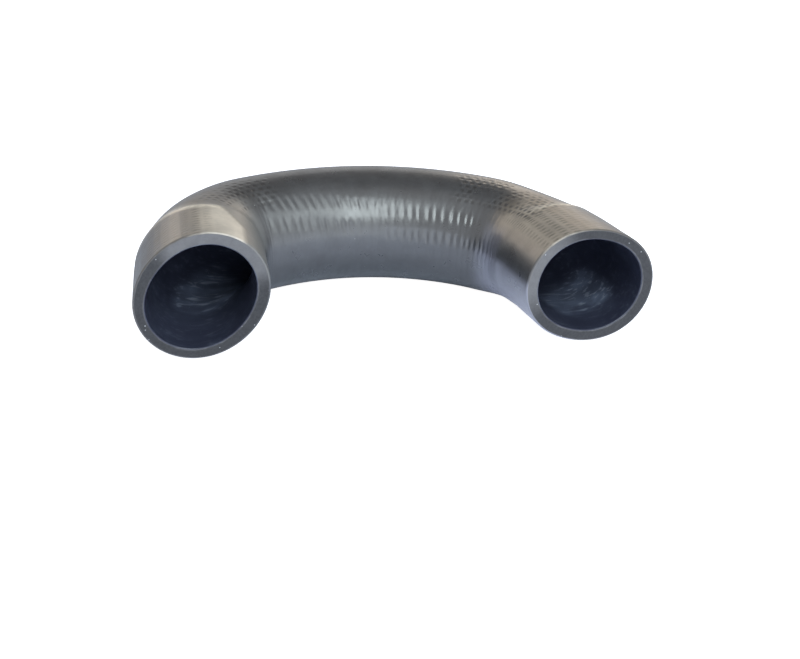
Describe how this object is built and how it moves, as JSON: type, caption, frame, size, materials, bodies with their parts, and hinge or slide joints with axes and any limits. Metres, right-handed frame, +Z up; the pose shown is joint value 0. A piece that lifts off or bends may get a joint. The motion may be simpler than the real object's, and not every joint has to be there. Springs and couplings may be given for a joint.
{
  "type": "charge air hose",
  "caption": "Moulded rubber charge air hose: a flat U with straight clamp cuffs at both ends, tape-wrapped ridges all along and plain trimmed mouths.",
  "frame": {"origin": "centre of the box around the hose, on the surface it lies on", "axes": "+Z up; +X from the left mouth's leg to the right mouth's leg, along the span; both mouths face about -Y, the left cuff straight along it"},
  "size_m": [0.2608, 0.1332, 0.0706],
  "materials": {
    "rubber": "satin charcoal, fine ridges left by the wrapping tape"
  },
  "bodies": {
    "root": {"charge_air_hose": "rubber"}
  },
  "joints": []
}
